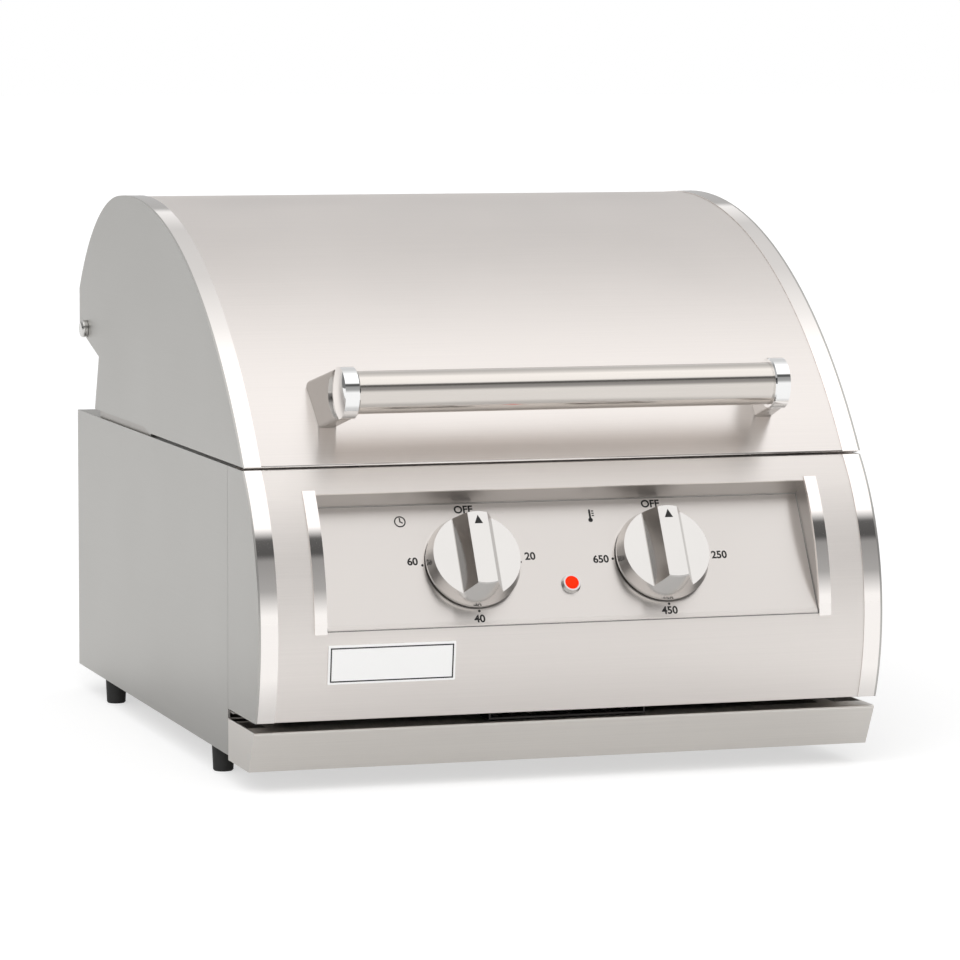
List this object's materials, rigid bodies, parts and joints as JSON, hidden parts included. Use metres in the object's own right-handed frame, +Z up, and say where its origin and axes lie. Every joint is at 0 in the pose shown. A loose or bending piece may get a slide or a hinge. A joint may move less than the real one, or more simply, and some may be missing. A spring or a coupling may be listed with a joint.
{
  "type": "countertop electric grill",
  "caption": "Countertop electric grill: brushed steel body with a roll-top hood on rear pivots, tube handle, tilted dial panel with knobs and lamp, and a pull-out drip tray.",
  "frame": {"origin": "on the standing plane under the middle of the whole object's bounding box", "axes": "+X to the right as seen by the cook, +Y from the front to the back, +Z up"},
  "size_m": [0.4806, 0.6086, 0.4101],
  "materials": {
    "brushed_skin": "brushed along the width, satin",
    "side_steel": "brushed, satin",
    "polished_trim": "polished stainless steel",
    "chrome": "mirror chrome",
    "handle_steel": "polished tube",
    "knob_metal": "satin nickel plating over die-cast metal",
    "dial_plate": "satin with printed black dial marks",
    "badge": "white enamel with a black border, bare",
    "lamp_red": "clear red, polished",
    "inner_steel": "mill finish",
    "tray_steel": "brushed along the width, satin",
    "grid_steel": "polished rod, welded",
    "element_sheath": "oxidised nickel-alloy sheath, matt",
    "fastener": "bright zinc",
    "rubber_black": "matt moulded rubber",
    "inner_plastic": "moulded phenolic, matt",
    "gland_plastic": "moulded nylon, matt",
    "insulator": null
  },
  "bodies": {
    "base": {"fascia": "brushed_skin", "side_panel_left": "side_steel", "side_panel_right": "side_steel", "front_cheek_left": "side_steel", "front_cheek_right": "side_steel", "back_panel": "side_steel", "top_deck": "side_steel", "fascia_band_left": "polished_trim", "fascia_band_right": "polished_trim", "recess_trim_left": "polished_trim", "recess_trim_right": "polished_trim", "lamp_bezel": "chrome", "control_panel": "dial_plate", "badge_plate": "badge", "lamp_lens": "lamp_red", "firebox_liner": "inner_steel", "front_bulkhead": "inner_steel", "base_floor": "inner_steel", "grease_funnel": "inner_steel", "element_supports": "inner_steel", "hinge_bracket_left": "inner_steel", "hinge_bracket_right": "inner_steel", "tray_runners": "inner_steel", "intake_louvre": "inner_steel", "cooking_grid_left": "grid_steel", "cooking_grid_right": "grid_steel", "heating_element": "element_sheath", "pivot_bolts": "fastener", "pivot_washers": "fastener", "pivot_nuts": "fastener", "foot_screws": "fastener", "back_screws": "fastener", "control_nuts": "fastener", "thermostat_bulb": "fastener", "rubber_feet": "rubber_black", "hood_buffers": "rubber_black", "timer_body": "inner_plastic", "thermostat_body": "inner_plastic", "lamp_body": "inner_plastic", "cord_gland": "gland_plastic", "element_bushings": "insulator", "terminal_block": "insulator"},
    "hood": {"hood_skin": "brushed_skin", "hood_liner": "inner_steel", "hood_side_left": "side_steel", "hood_side_right": "side_steel", "hood_band_left": "polished_trim", "hood_band_right": "polished_trim", "handle_tube": "handle_steel", "handle_cap_left": "chrome", "handle_cap_right": "chrome", "handle_bracket_left": "brushed_skin", "handle_bracket_right": "brushed_skin", "handle_bolts": "fastener"},
    "drip_tray": {"tray_front": "tray_steel", "tray_pan": "tray_steel"},
    "timer_dial": {"timer_knob": "knob_metal", "timer_shaft": "fastener"},
    "thermostat_dial": {"thermostat_knob": "knob_metal", "thermostat_shaft": "fastener"}
  },
  "joints": [
    {"name": "hood_hinge", "type": "hinge", "parent": "base", "child": "hood", "pos_m": [0, 0.2534, 0.2974], "axis": [-1, 0, 0], "range_deg": [0, 90]},
    {"name": "tray_slide", "type": "slide", "parent": "base", "child": "drip_tray", "axis": [0, -1, 0], "range_m": [0, 0.35]},
    {"name": "timer_turn", "type": "hinge", "parent": "base", "child": "timer_dial", "pos_m": [-0.07165, -0.26449, 0.1602], "axis": [0, 0.866, -0.5], "range_deg": [0, 270]},
    {"name": "thermostat_turn", "type": "hinge", "parent": "base", "child": "thermostat_dial", "pos_m": [0.07165, -0.26449, 0.1602], "axis": [0, 0.866, -0.5], "range_deg": [0, 270]}
  ]
}
